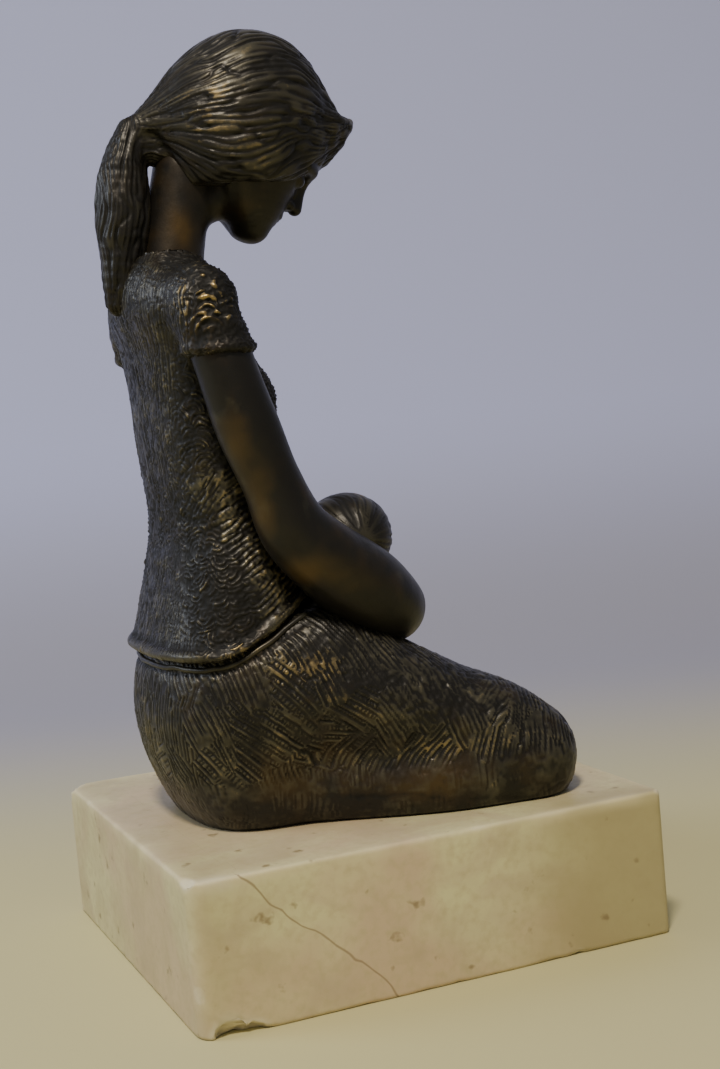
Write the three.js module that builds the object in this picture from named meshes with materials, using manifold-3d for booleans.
// A kneeling mother who holds her baby in her arms: one bronze casting on a marble plinth.
// Millimetres. The origin is the centre of the plinth's underside, +X is the way she faces,
// +Y is her left and +Z is up.
//
// The casting is described by fields: functions of a point that give its distance to a surface,
// negative inside. Each garment or limb is turned into a closed mesh by surface nets, the meshes
// are joined into one body, and that body is thinned to few faces.

import * as THREE from 'three';
import { mergeVertices } from 'three/addons/utils/BufferGeometryUtils.js';
import Module from 'manifold-3d';

const wasm = await Module();
wasm.setup();

// Driving dimensions
const plinth = { length: 140, depth: 134.5, height: 41.4, edge: 1.4, cornerRadius: 2.2, wornCorner: 5 };
const seatGap = 0.3; // between the casting and the marble
const baseZ = plinth.height + seatGap;

const headSize = 50; // crown to chin, under the hair
const headBow = THREE.MathUtils.degToRad(45); // how far the head is bowed
const earPoint = [-11.5, 0, 232.8]; // the point between her ears, about which the head is drawn
const neck = { base: [-41, 0, 187], middle: [-37.4, 0, 206], top: [-32, 0, 227], radius: 8.9 };

const shoulder = { x: -40, y: 33, z: 189 };
const arm = { shoulder: 8.3, middle: 8.8, elbow: 9.7, forearm: 12.2, wrist: 10.6 };
const babyHead = { centre: [1, -18, 119], radius: 13.4 };
const knee = { x: 41.4, y: 40.8, z: 53.8, radius: 14.4 };
const finger = {
  radius: 2.4, spacing: 3.9, lengths: [16, 18, 17, 14], slant: 0.5, overTop: 106.5, underTop: 100.5,
};
const hemDrop = 90.6; // height of the blouse's hem behind her
const hemRise = 14; // how much higher it is in her lap

const hairTie = [-46, 0, 240]; // where the ponytail is tied
const locks = { count: 22, depth: 0.8, sway: 9 }; // combed locks that run from the fringe to the tie
const tailLocks = {
  count: 7, depth: 0.7, spine: [[191.5, -55], [205, -52], [218, -50.8], [230, -49.2], [239.5, -46]],
};
const flatSeat = { power: 2.6, share: 0.92 };
const flatBack = { power: 3, share: 0.9 }; // how square her back is, and how much less deep than the front
const roll = { height: 0.9, spread: 1.8, inset: 2.2 }; // the thick edge of hem and sleeves

// Size of the mesh cells before thinning, finer where the form is finer
const cell = { skirt: 2.6, blouse: 1.7, arms: 2.4, hands: 1.3, head: 1.5, hair: 1.6, baby: 1.9 };
const castingTriangles = 9450;

// Colours of the patina and the marble
const bronzeColour = 0x4a3a22;
const marbleColour = 0xcfc6ad;

const clamp = THREE.MathUtils.clamp;
const mix = THREE.MathUtils.lerp;
const smoothstep = THREE.MathUtils.smoothstep;

// Fields of simple forms

const ellipsoid = ([cx, cy, cz], [rx, ry, rz]) => (x, y, z) => {
  const [a, b, c] = [(x - cx) / rx, (y - cy) / ry, (z - cz) / rz];
  const reach = Math.hypot(a, b, c);
  const slope = Math.hypot(a / rx, b / ry, c / rz);
  return slope < 1e-9 ? -Math.min(rx, ry, rz) : reach * (reach - 1) / slope;
};

// A round limb through stations [x, y, z, radius], smoothed by a Catmull-Rom curve
function limb(stations, steps = 5) {
  const dense = smoothStations(stations, steps);
  const pieces = dense.slice(1).map((end, i) => {
    const start = dense[i];
    const along = [end[0] - start[0], end[1] - start[1], end[2] - start[2]];
    return { start, along, swell: end[3] - start[3], square: along.reduce((sum, v) => sum + v * v, 0) };
  });
  return (x, y, z) => {
    let nearest = Infinity;
    for (const { start, along, swell, square } of pieces) {
      const [px, py, pz] = [x - start[0], y - start[1], z - start[2]];
      const t = clamp((px * along[0] + py * along[1] + pz * along[2]) / square, 0, 1);
      const gap = Math.hypot(px - t * along[0], py - t * along[1], pz - t * along[2]);
      nearest = Math.min(nearest, gap - start[3] - t * swell);
    }
    return nearest;
  };
}

function smoothStations(stations, steps) {
  const at = (i) => stations[clamp(i, 0, stations.length - 1)];
  const dense = [];
  for (let i = 0; i < stations.length - 1; i++) {
    for (let k = 0; k < steps; k++) {
      dense.push(stations[i].map((_, axis) =>
        catmullRom(at(i - 1)[axis], at(i)[axis], at(i + 1)[axis], at(i + 2)[axis], k / steps)));
    }
  }
  dense.push(at(stations.length - 1));
  return dense;
}

function catmullRom(before, from, to, after, t) {
  const [slopeIn, slopeOut] = [(to - before) / 2, (after - from) / 2];
  const rise = to - from;
  return from + t * (slopeIn + t * (3 * rise - 2 * slopeIn - slopeOut + t * (slopeIn + slopeOut - 2 * rise)));
}

// Upright body with an oval section at each station [z, x, halfDepth, halfWidth], flatter behind
function ovalStack(stations, back) {
  const dense = smoothStations(stations, 4);
  const last = dense.length - 1;
  return (x, y, z) => {
    let i = 0;
    while (i < last - 1 && dense[i + 1][0] < z) i++;
    const t = clamp((z - dense[i][0]) / (dense[i + 1][0] - dense[i][0]), 0, 1);
    const [centre, front, width] = [1, 2, 3].map((axis) => mix(dense[i][axis], dense[i + 1][axis], t));
    const power = x < centre ? back.power : 2;
    const depth = x < centre ? front * back.share : front;
    const [a, b] = [Math.abs(x - centre) / depth, Math.abs(y) / width];
    const reach = (a ** power + b ** power) ** (1 / power) + 1e-6;
    const slope = Math.hypot((a / reach) ** (power - 1) / depth, (b / reach) ** (power - 1) / width) + 1e-6;
    return Math.max((reach - 1) / slope, z - dense[last][0], dense[0][0] - z);
  };
}

// Joins and cuts of fields, with a soft seam of the given width

function softMin(a, b, seam) {
  const h = clamp(0.5 + (b - a) / (2 * seam), 0, 1);
  return mix(b, a, h) - seam * h * (1 - h);
}

const softMax = (a, b, seam) => -softMin(-a, -b, seam);

const join = (seam, ...fields) => (x, y, z) =>
  fields.reduce((sum, field) => softMin(sum, field(x, y, z), seam), 1e3);

const mirrored = (field) => (x, y, z) => field(x, -Math.abs(y), z);

// Fields of the figure

function skirtField() {
  const seat = ovalStack([
    [36, -31, 17, 27], [41.7, -31, 20.5, 30.5], [47, -31, 23.8, 34.5], [54, -31.3, 26.4, 36.5],
    [62, -31.8, 28.6, 37.2], [72, -32, 29.8, 37.5], [80, -32, 29, 37], [87, -32, 27.2, 36], [94, -32, 23.5, 33],
    [100, -32, 17, 26],
  ], flatSeat);
  const thigh = mirrored(limb([
    [-30, -19, 76, 19], [-14, -24, 77.6, 20.6], [0, -28.5, 73.2, 19.4], [18, -34, 65.4, 16.8], [32, -38, 60, 15.6],
    [knee.x, -knee.y, knee.z, knee.radius],
  ]));
  const shin = mirrored(limb([
    [knee.x - 0.6, -knee.y - 1.4, 49.6, 13.2], [21, -40.5, 50, 13], [7.5, -36, 50, 13],
    [-9.5, -29, 50.5, 12.5], [-28, -22, 51, 12],
  ]));
  const fold = mirrored(limb([[-26, -26, 88, 11.6], [-15, -29.5, 89.6, 12.2], [-4, -30.5, 84.2, 11.4]]));
  const lap = join(8, ellipsoid([0, 0, 60], [34, 38, 19.5]),
    limb([[30, -34, 51, 13.5], [25.5, 0, 49, 14.5], [30, 34, 51, 13.5]]));
  const cloth = join(8, seat, join(4, thigh, fold), lap);
  return (x, y, z) => softMin(cloth(x, y, z), shin(x, y, z), 5);
}

// The hem is level behind her and climbs over the thighs into the lap
const hemHeight = (x) => hemDrop + hemRise * smoothstep(x, -48, -10);

function blouseField() {
  const trunk = ovalStack([
    [70, -33, 28.5, 38], [90, -33, 28, 37.5], [98, -32.4, 25.8, 36], [108.5, -32.4, 22.6, 34.5],
    [117, -33, 19.9, 32.5], [129, -34, 16.6, 29.5], [151, -35, 17.4, 29.5], [163, -35.4, 17.2, 30],
    [175, -37, 16.6, 30.5], [186, -40, 14.8, 29.5], [196, -41, 12.5, 24], [204, -40, 10, 15],
  ], flatBack);
  const yoke = limb([
    [shoulder.x, -shoulder.y, shoulder.z, 8.2], [-42, 0, 191, 12], [shoulder.x, shoulder.y, shoulder.z, 8.2],
  ]);
  const bust = mirrored(ellipsoid([-24.5, -13, 160.5], [9.2, 10.5, 10.5]));
  const sleeve = mirrored(limb([
    [shoulder.x - 0.4, -shoulder.y + 3, shoulder.z + 2, 8.2], [-40.4, -35, 184, 8.8],
    [-37.6, -36, 175.5, 9.2],
  ]));
  const sleeveEnd = 173.5;
  const body = join(7, trunk, yoke, bust);
  const edge = (above) => roll.height * Math.exp(-(((above - roll.inset) / roll.spread) ** 2));
  return (x, y, z) => {
    const hem = hemHeight(x);
    const shirt = softMax(body(x, y, z) - edge(z - hem), hem - z, 1.6);
    const cuffed = softMax(sleeve(x, y, z) - edge(z - sleeveEnd), sleeveEnd - z, 1.6);
    return softMax(softMin(shirt, cuffed, 4), neckOpening(x, y, z), 1);
  };
}

// Round neckline, open where this is positive
const neckOpening = (x, y, z) => 3 - Math.hypot(x + 38, y * 0.86, (z - 207) * 0.9) + 9.5;

function armsField() {
  const right = limb([
    [shoulder.x, -shoulder.y - 1, shoulder.z, arm.shoulder], [-37, -36.5, 172, arm.shoulder],
    [-32.2, -37.6, 153, arm.middle], [-27, -38, 138, arm.middle - 0.4], [-21.9, -37.6, 124.9, arm.elbow],
    [-13.1, -36.5, 115.5, arm.forearm - 1.2], [0, -31.5, 105.2, arm.forearm],
    [9, -26, 98.5, arm.wrist], [15.5, -14, 98, 7.6], [17, -6, 98.5, 5.6],
  ]);
  const left = limb([
    [shoulder.x, shoulder.y + 1, shoulder.z, arm.shoulder], [-36, 36.5, 172, arm.shoulder],
    [-32, 37.6, 150, arm.middle], [-25, 38, 127, arm.middle + 0.6], [-10, 37, 110, 9.8],
    [4, 33, 98.5, 8.4], [12, 27, 95, 6.8], [14, 22, 94.5, 5.4],
  ]);
  const both = (x, y, z) => Math.min(right(x, y, z), left(x, y, z));
  const hands = handsField();
  return (x, y, z) => softMin(both(x, y, z), hands(x, y, z), 2);
}

// Four fingers of each hand lie round the baby's shawl, the right hand over the left
function handsField() {
  const fingers = finger.lengths.flatMap((length, n) => {
    const back = finger.slant * n;
    const [over, under] = [finger.overTop, finger.underTop].map((top) => top - n * finger.spacing);
    return [
      limb([[17 - back, -8, over, finger.radius], [19.4 - back, length / 2 - 4, over + 0.5, finger.radius],
        [18.2 - back, length - 6, over + 1.6, finger.radius - 0.5]]),
      limb([[15 - back, 25, under, finger.radius], [17.6 - back, 23 - length / 2, under, finger.radius],
        [17.2 - back, 24 - length, under, finger.radius - 0.5]]),
    ];
  });
  return join(0.4, ...fingers);
}

// The head is drawn upright about the ear point: f forward, s sideways and u up
function toHead(x, y, z) {
  const [dx, dz] = [x - earPoint[0], z - earPoint[2]];
  const [cos, sin] = [Math.cos(headBow), Math.sin(headBow)];
  return [dx * cos - dz * sin, y - earPoint[1], dx * sin + dz * cos];
}

function headField() {
  const unit = headSize / 50;
  const scaled = (values) => values.map((v) => v * unit);
  const cranium = ellipsoid(scaled([-0.5, 0, 8]), scaled([20, 16, 18.5]));
  const jaw = limb([scaled([3.5, 0, -1, 13.2]), scaled([8.5, 0, -8.5, 10.6]), scaled([13, 0, -15.2, 6.2])]);
  const underJaw = mirrored(limb([
    scaled([-1, -8, -9, 5.5]), scaled([6, -5, -14, 5]), scaled([12, -1, -17, 4]),
  ]));
  const nose = limb([scaled([17.5, 0, 4, 1.9]), scaled([20.8, 0, -3.6, 2.3])]);
  const lips = ellipsoid(scaled([17.6, 0, -10.6]), scaled([2.6, 4.2, 2.6]));
  const socket = ellipsoid(scaled([21, 6.2, 2.6]), scaled([4.6, 4.6, 3]));
  const lid = ellipsoid(scaled([14.6, 5.8, 1.6]), scaled([2.8, 3.4, 2.4]));
  const throat = limb([
    [...neck.base, neck.radius + 2], [...neck.middle, neck.radius + 0.3], [...neck.top, neck.radius],
  ]);
  const underChin = limb([[-33, 0, 217, 6.5], [-22, 0, 220, 6]]);
  const face = join(4, cranium, jaw, underJaw);
  return (x, y, z) => {
    const [f, s, u] = toHead(x, y, z);
    const side = Math.abs(s);
    let skin = face(f, s, u);
    skin = softMax(skin, -socket(f, side, u), 3);
    skin = softMin(skin, lid(f, side, u), 1);
    skin = softMin(skin, nose(f, s, u), 2.2);
    skin = softMin(skin, lips(f, s, u), 1.6);
    return softMin(softMin(skin, throat(x, y, z), 4), underChin(x, y, z), 3);
  };
}

// Lower edge of the hair: level beside the face, and higher over the nape
const hairEdge = (x) => mix(238, 222, smoothstep(x, -42, -32));

// Depth from 0 to 1 of the furrows between locks, which run like meridians from tie to fringe
function furrow(x, y, z) {
  const [across, up] = [y - hairTie[1], z - hairTie[2]];
  const turn = Math.atan2(across, up) * locks.count / 2 + 0.7 * Math.sin(x / locks.sway);
  return (1 - Math.abs(Math.sin(turn))) * smoothstep(Math.hypot(across, up), 3, 12);
}

// The same for the strands of the tail, which run along its spine
function tailFurrow(x, y, z) {
  const spine = tailLocks.spine;
  const above = spine.findIndex(([height]) => height > z);
  const i = clamp(above < 0 ? spine.length - 1 : above, 1, spine.length - 1);
  const centre = mix(spine[i - 1][1], spine[i][1], (z - spine[i - 1][0]) / (spine[i][0] - spine[i - 1][0]));
  const turn = Math.atan2(y, x - centre) * tailLocks.count / 2 + 0.5 * Math.sin(z / locks.sway);
  return (1 - Math.abs(Math.sin(turn))) * smoothstep(238 - z, 0, 8);
}

function hairField() {
  const crown = ellipsoid([-11.2, 0, 244], [24, 20.8, 23.8]);
  const sides = ellipsoid([-16, 0, 235], [23, 20.5, 24]);
  const fringe = limb([[2, 0, 241, 12.5], [9, 0, 237.5, 9.6], [15, 0, 237, 5], [20.4, 0, 240.2, 1.4]]);
  const forelock = ellipsoid([-2, 0, 233.5], [14.7, 14.6, 10.3]);
  const sweep = limb([[-21, 0, 243.5, 17.6], [-34, 0, 241, 10.2], [-45.2, 0, 239, 4.2]]);
  const nape = limb([[-34, 0, 233, 6.5], [-46, 0, 236, 4]]);
  const tail = limb([
    [-46, 0, 239.5, 3.8], [-49.2, 0, 230, 6.6], [-50.8, 0, 218, 8.1], [-52, 0, 205, 7], [-55, 0, 191.5, 4],
  ]);
  const faceHollow = ellipsoid([22, 0, -12], [17, 14.5, 20]);
  const body = join(4, crown, sides, fringe, forelock, sweep);
  return (x, y, z) => {
    const combed = body(x, y, z) + locks.depth * furrow(x, y, z);
    const mass = softMax(softMax(combed, hairEdge(x) - z, 2), -faceHollow(...toHead(x, y, z)), 2);
    const strands = tail(x, y, z) + tailLocks.depth * (tailFurrow(x, y, z) - 0.4);
    return softMin(softMin(mass, nape(x, y, z), 2), strands, 2.5);
  };
}

function babyField() {
  const [hx, hy, hz] = babyHead.centre;
  const head = ellipsoid([hx, hy, hz], [babyHead.radius, babyHead.radius * 1.03, babyHead.radius * 0.97]);
  const body = limb([
    [hx + 3, hy + 14, hz - 8, 9], [6, 8, 107, 12], [6, 22, 102.5, 11], [8, 33, 98, 7],
  ]);
  const shawl = ellipsoid([-6, 2, 100], [20, 30, 14]);
  return (x, y, z) => softMin(head(x, y, z), softMin(body(x, y, z), shawl(x, y, z), 6), 2);
}

// Surface nets: one vertex in each cell that the surface crosses. The grid has a spare margin
// around the box that holds the form.

function surfaceNet(field, boxLow, boxHigh, size) {
  const margin = 2 * size;
  const low = boxLow.map((from) => from - margin);
  const counts = low.map((from, axis) => Math.ceil((boxHigh[axis] + margin - from) / size) + 1);
  const [nx, ny, nz] = counts;
  const values = new Float64Array(nx * ny * nz);
  const index = (i, j, k) => i + nx * (j + ny * k);
  const place = (at) => [at % nx, Math.floor(at / nx) % ny, Math.floor(at / (nx * ny))]
    .map((count, axis) => low[axis] + count * size);
  values.forEach((_, at) => { values[at] = field(...place(at)); });
  fillDoubtfulCells(values, counts, index, size);

  const vertexOf = new Map();
  const positions = [];
  const strides = [1, nx, nx * ny];
  const cellVertex = (at) => {
    if (vertexOf.has(at)) return vertexOf.get(at);
    const corner = place(at);
    const sum = [0, 0, 0];
    let crossings = 0;
    for (let edge = 0; edge < 12; edge++) {
      const [axis, side] = [edge % 3, Math.floor(edge / 3)];
      const [u, v] = [(axis + 1) % 3, (axis + 2) % 3];
      const from = at + (side & 1) * strides[u] + (side >> 1) * strides[v];
      const [a, b] = [values[from], values[from + strides[axis]]];
      if ((a < 0) === (b < 0)) continue;
      sum[axis] += a / (a - b);
      sum[u] += side & 1;
      sum[v] += side >> 1;
      crossings++;
    }
    const point = sum.map((total, axis) => corner[axis] + size * total / crossings);
    positions.push(...settle(field, point, size));
    vertexOf.set(at, positions.length / 3 - 1);
    return positions.length / 3 - 1;
  };

  const triangles = [];
  for (const [i, j, k] of gridPlaces([1, 1, 1], [nx - 1, ny - 1, nz - 1])) {
    const here = index(i, j, k);
    for (let axis = 0; axis < 3; axis++) {
      const inside = values[here] < 0;
      if (inside === (values[here + strides[axis]] < 0)) continue;
      const [u, v] = [strides[(axis + 1) % 3], strides[(axis + 2) % 3]];
      const ring = [here - u - v, here - v, here, here - u].map(cellVertex);
      if (!inside) ring.reverse();
      triangles.push(...splitQuad(ring, positions));
    }
  }
  return { positions, triangles };
}

function* gridPlaces(from, to) {
  for (let k = from[2]; k < to[2]; k++) {
    for (let j = from[1]; j < to[1]; j++) {
      for (let i = from[0]; i < to[0]; i++) yield [i, j, k];
    }
  }
}

// Moves a vertex onto the surface, by no more than half a cell
function settle(field, point, size) {
  let place = point;
  const step = 0.05;
  for (let pass = 0; pass < 3; pass++) {
    const distance = field(...place);
    const slope = [0, 1, 2].map((axis) => {
      const ahead = [...place];
      ahead[axis] += step;
      return (field(...ahead) - distance) / step;
    });
    const square = slope.reduce((sum, v) => sum + v * v, 0) + 1e-9;
    place = place.map((v, axis) =>
      clamp(v - distance * slope[axis] / square, point[axis] - size / 2, point[axis] + size / 2));
  }
  return place;
}

function splitQuad([a, b, c, d], positions) {
  const at = (v) => new THREE.Vector3().fromArray(positions, 3 * v);
  const span = (p, q) => at(p).distanceTo(at(q));
  return span(a, c) < span(b, d) ? [a, b, c, a, c, d] : [a, b, d, b, c, d];
}

// Where two bits of surface would touch inside one cell, the corner between them is filled,
// so that every mesh edge keeps two faces
function fillDoubtfulCells(values, [nx, ny, nz], index, size) {
  const corners = [...Array(8).keys()].map((n) => [n & 1, (n >> 1) & 1, n >> 2]);
  const neighbours = corners.map((_, n) => [n ^ 1, n ^ 2, n ^ 4]);
  const faces = [[0, 1, 3, 2], [4, 5, 7, 6], [0, 1, 5, 4], [2, 3, 7, 6], [0, 2, 6, 4], [1, 3, 7, 5]];
  const isWhole = (members) => {
    const found = new Set([members[0]]);
    for (const n of found) neighbours[n].filter((m) => members.includes(m)).forEach((m) => found.add(m));
    return found.size === members.length;
  };
  let changed = true;
  while (changed) {
    changed = false;
    for (const [i, j, k] of gridPlaces([0, 0, 0], [nx - 1, ny - 1, nz - 1])) {
      const at = corners.map(([a, b, c]) => index(i + a, j + b, k + c));
      const filled = at.map((n) => values[n] < 0);
      const inside = [...filled.keys()].filter((n) => filled[n]);
      if (inside.length === 0 || inside.length === 8) continue;
      const outside = [...filled.keys()].filter((n) => !filled[n]);
      const crossed = faces.find(([a, b, c, d]) =>
        filled[a] === filled[c] && filled[b] === filled[d] && filled[a] !== filled[b]);
      if (!crossed && isWhole(inside) && isWhole(outside)) continue;
      const open = (crossed ?? outside).filter((n) => !filled[n]);
      const chosen = open.reduce((best, n) => (values[at[n]] < values[at[best]] ? n : best));
      values[at[chosen]] = -0.01 * size;
      changed = true;
    }
  }
}

// The outer shell alone: closed pockets between the forms are filled and loose crumbs dropped
function outerShell({ positions, triangles }) {
  const parent = Array.from({ length: positions.length / 3 }, (_, v) => v);
  const root = (v) => {
    while (parent[v] !== v) v = parent[v] = parent[parent[v]];
    return v;
  };
  for (let n = 0; n < triangles.length; n += 3) {
    parent[root(triangles[n])] = root(triangles[n + 1]);
    parent[root(triangles[n + 1])] = root(triangles[n + 2]);
  }
  const sizes = new Map();
  triangles.forEach((v) => sizes.set(root(v), (sizes.get(root(v)) ?? 0) + 1));
  const largest = [...sizes].reduce((best, entry) => (entry[1] > best[1] ? entry : best))[0];
  return { positions, triangles: triangles.filter((v) => root(v) === largest) };
}

// Thinning: the edges whose collapse changes the form least go first, measured by quadrics

function thinned({ positions, triangles }, target) {
  const inThrees = (list) =>
    Array.from({ length: list.length / 3 }, (_, n) => [...list.slice(3 * n, 3 * n + 3)]);
  const points = inThrees(positions);
  const faces = inThrees(triangles);
  const facesAt = points.map(() => new Set());
  faces.forEach((face, n) => face.forEach((v) => facesAt[v].add(n)));
  const quadrics = pointQuadrics(points, faces);
  const age = new Int32Array(points.length);
  const queue = new EdgeQueue();
  const offer = (u, v) => {
    const sum = quadrics[u].map((term, k) => term + quadrics[v][k]);
    queue.push({ ...bestPlace(sum, points[u], points[v]), u, v, sum, age: age[u] + age[v] });
  };
  const neighbours = (v) => new Set([...facesAt[v]].flatMap((n) => faces[n]).filter((w) => w !== v));
  points.forEach((_, u) => neighbours(u).forEach((v) => u < v && offer(u, v)));

  let remaining = faces.length;
  while (remaining > target) {
    const { u, v, place, sum, age: offered } = queue.pop();
    if (offered !== age[u] + age[v] || facesAt[u].size === 0 || facesAt[v].size === 0) continue;
    const near = neighbours(v);
    if ([...neighbours(u)].filter((w) => near.has(w)).length !== 2) continue;
    if (foldsOver(points, faces, facesAt, u, v, place)) continue;
    points[u] = place;
    quadrics[u] = sum;
    for (const n of facesAt[v]) {
      if (faces[n].includes(u)) {
        faces[n].forEach((w) => w !== v && facesAt[w].delete(n));
        faces[n] = [];
        remaining--;
      } else {
        faces[n] = faces[n].map((w) => (w === v ? u : w));
        facesAt[u].add(n);
      }
    }
    facesAt[v].clear();
    age[v] += 1;
    age[u] += 1;
    neighbours(u).forEach((w) => offer(u, w));
  }
  const kept = points.map((_, v) => v).filter((v) => facesAt[v].size > 0);
  const order = new Map(kept.map((v, n) => [v, n]));
  return { positions: kept.flatMap((v) => points[v]), triangles: faces.flat().map((v) => order.get(v)) };
}

const dot = (a, b) => a[0] * b[0] + a[1] * b[1] + a[2] * b[2];

function measureFace(p, q, r) {
  const one = new THREE.Vector3(...q).sub(new THREE.Vector3(...p));
  const two = new THREE.Vector3(...r).sub(new THREE.Vector3(...p));
  const longest = Math.max(one.length(), two.length(), one.distanceTo(two));
  const cross = one.cross(two);
  const area = cross.length() / 2;
  return { normal: cross.normalize().toArray(), area, width: area / (longest * longest) };
}

// The ten terms of each point's squared distance to the planes of its faces
function pointQuadrics(points, faces) {
  const quadrics = points.map(() => new Float64Array(10));
  for (const face of faces) {
    const { normal, area } = measureFace(...face.map((v) => points[v]));
    const plane = [...normal, -dot(normal, points[face[0]])];
    const terms = plane.flatMap((a, i) => plane.slice(i).map((b) => area * a * b));
    face.forEach((v) => terms.forEach((term, k) => { quadrics[v][k] += term; }));
  }
  return quadrics;
}

// True where a face would turn over or become a sliver if u and v met at the place. A face that
// is a sliver already may turn.
function foldsOver(points, faces, facesAt, u, v, place) {
  const steepest = 0.3;
  const narrowest = 0.01;
  const sliver = 0.001;
  return [...facesAt[u], ...facesAt[v]].some((n) => {
    const face = faces[n];
    if (face.includes(u) && face.includes(v)) return false;
    const before = measureFace(...face.map((w) => points[w]));
    const after = measureFace(...face.map((w) => (w === u || w === v ? place : points[w])));
    const turned = before.width > sliver && dot(before.normal, after.normal) < steepest;
    return turned || after.width < Math.min(narrowest, before.width);
  });
}

// Where the edge's two ends should meet: where the quadric is least, or at an end or the middle
function bestPlace(quadric, from, to) {
  const [xx, xy, xz, xw, yy, yz, yw, zz, zw, ww] = quadric;
  const error = ([x, y, z]) =>
    x * (xx * x + 2 * (xy * y + xz * z + xw)) + y * (yy * y + 2 * (yz * z + yw)) + z * (zz * z + 2 * zw) + ww;
  const middle = from.map((v, k) => (v + to[k]) / 2);
  const span = Math.hypot(...from.map((v, k) => v - to[k]));
  const choices = [from, to, middle];
  const matrix = new THREE.Matrix3().set(xx, xy, xz, xy, yy, yz, xz, yz, zz);
  if (Math.abs(matrix.determinant()) > 1e-8 * (xx + yy + zz) ** 3) {
    const best = new THREE.Vector3(-xw, -yw, -zw).applyMatrix3(matrix.invert()).toArray();
    if (Math.hypot(...best.map((v, k) => v - middle[k])) < 2 * span) choices.push(best);
  }
  const costs = choices.map(error);
  const least = Math.min(...costs);
  return { place: choices[costs.indexOf(least)], cost: least + 1e-5 * span * span };
}

// A binary heap of edges, the cheapest first
class EdgeQueue {
  items = [];

  push(item) {
    let n = this.items.push(item) - 1;
    for (let up = (n - 1) >> 1; n > 0 && this.items[up].cost > item.cost; n = up, up = (n - 1) >> 1) {
      this.items[n] = this.items[up];
    }
    this.items[n] = item;
  }

  pop() {
    const first = this.items[0];
    const moved = this.items.pop();
    const size = this.items.length;
    let n = 0;
    for (let next = 1; next < size; next = 2 * n + 1) {
      if (next + 1 < size && this.items[next + 1].cost < this.items[next].cost) next++;
      if (this.items[next].cost >= moved.cost) break;
      this.items[n] = this.items[next];
      n = next;
    }
    if (size > 0) this.items[n] = moved;
    return first;
  }
}

// Closed solids and their joining

function solidFromMesh({ positions, triangles }) {
  return new wasm.Manifold(new wasm.Mesh({
    numProp: 3,
    vertProperties: Float32Array.from(positions),
    triVerts: Uint32Array.from(triangles),
  }));
}

function solidFromGeometry(geometry) {
  geometry.deleteAttribute('normal');
  geometry.deleteAttribute('uv');
  const merged = mergeVertices(geometry, 1e-4);
  return solidFromMesh({ positions: merged.attributes.position.array, triangles: merged.index.array });
}

function meshFromSolid(solid) {
  const { vertProperties, triVerts } = solid.getMesh();
  return { positions: Array.from(vertProperties), triangles: Array.from(triVerts) };
}

function geometryFromMesh({ positions, triangles }) {
  const geometry = new THREE.BufferGeometry();
  geometry.setAttribute('position', new THREE.BufferAttribute(Float32Array.from(positions), 3));
  geometry.setIndex(new THREE.BufferAttribute(Uint32Array.from(triangles), 1));
  geometry.computeVertexNormals();
  return geometry;
}

function block(low, high) {
  const size = high.map((v, axis) => v - low[axis]);
  const box = new THREE.BoxGeometry(...size);
  box.translate(...low.map((v, axis) => v + size[axis] / 2));
  return solidFromGeometry(box);
}

function castingGeometry() {
  const forms = [
    surfaceNet(skirtField(), [-64, -58, 30], [64, 58, 102], cell.skirt),
    surfaceNet(blouseField(), [-64, -50, 84], [0, 50, 208], cell.blouse),
    surfaceNet(armsField(), [-48, -52, 84], [28, 52, 200], cell.arms),
    surfaceNet(handsField(), [4, -14, 80], [26, 32, 112], cell.hands),
    surfaceNet(headField(), [-56, -20, 172], [14, 20, 266], cell.head),
    surfaceNet(hairField(), [-62, -26, 184], [26, 26, 270], cell.hair),
    surfaceNet(babyField(), [-30, -36, 82], [24, 44, 136], cell.baby),
  ];
  const whole = forms.map(solidFromMesh).reduce((sum, solid) => sum.add(solid));
  const reach = 200;
  const seated = whole.subtract(block([-reach, -reach, -reach], [reach, reach, baseZ]));
  return geometryFromMesh(thinned(outerShell(meshFromSolid(seated)), castingTriangles));
}

function plinthGeometry() {
  const outline = new THREE.Shape();
  const [hx, hy] = [plinth.length / 2 - plinth.edge, plinth.depth / 2 - plinth.edge];
  const corners = [[-1, -1, plinth.wornCorner], [1, -1], [1, 1], [-1, 1]];
  corners.forEach(([alongX, alongY, radius = plinth.cornerRadius], n) => {
    const turn = n * Math.PI / 2;
    const centre = [alongX * (hx - radius), alongY * (hy - radius)];
    outline.absarc(...centre, radius, Math.PI + turn, Math.PI * 1.5 + turn, false);
  });
  const slab = new THREE.ExtrudeGeometry(outline, {
    depth: plinth.height - 2 * plinth.edge, bevelThickness: plinth.edge, bevelSize: plinth.edge,
    bevelSegments: 2, curveSegments: 4,
  });
  slab.translate(0, 0, plinth.edge);
  return geometryFromMesh(meshFromSolid(solidFromGeometry(slab)));
}

const bronze = new THREE.MeshStandardMaterial({ color: bronzeColour, roughness: 0.42, metalness: 1 });
const marble = new THREE.MeshStandardMaterial({ color: marbleColour, roughness: 0.55, metalness: 0 });

const sculpture = new THREE.Group();

const casting = new THREE.Mesh(castingGeometry(), bronze);
casting.name = 'mother_and_child_bronze';
sculpture.add(casting);

const stand = new THREE.Mesh(plinthGeometry(), marble);
stand.name = 'marble_plinth';
sculpture.add(stand);

export default sculpture;
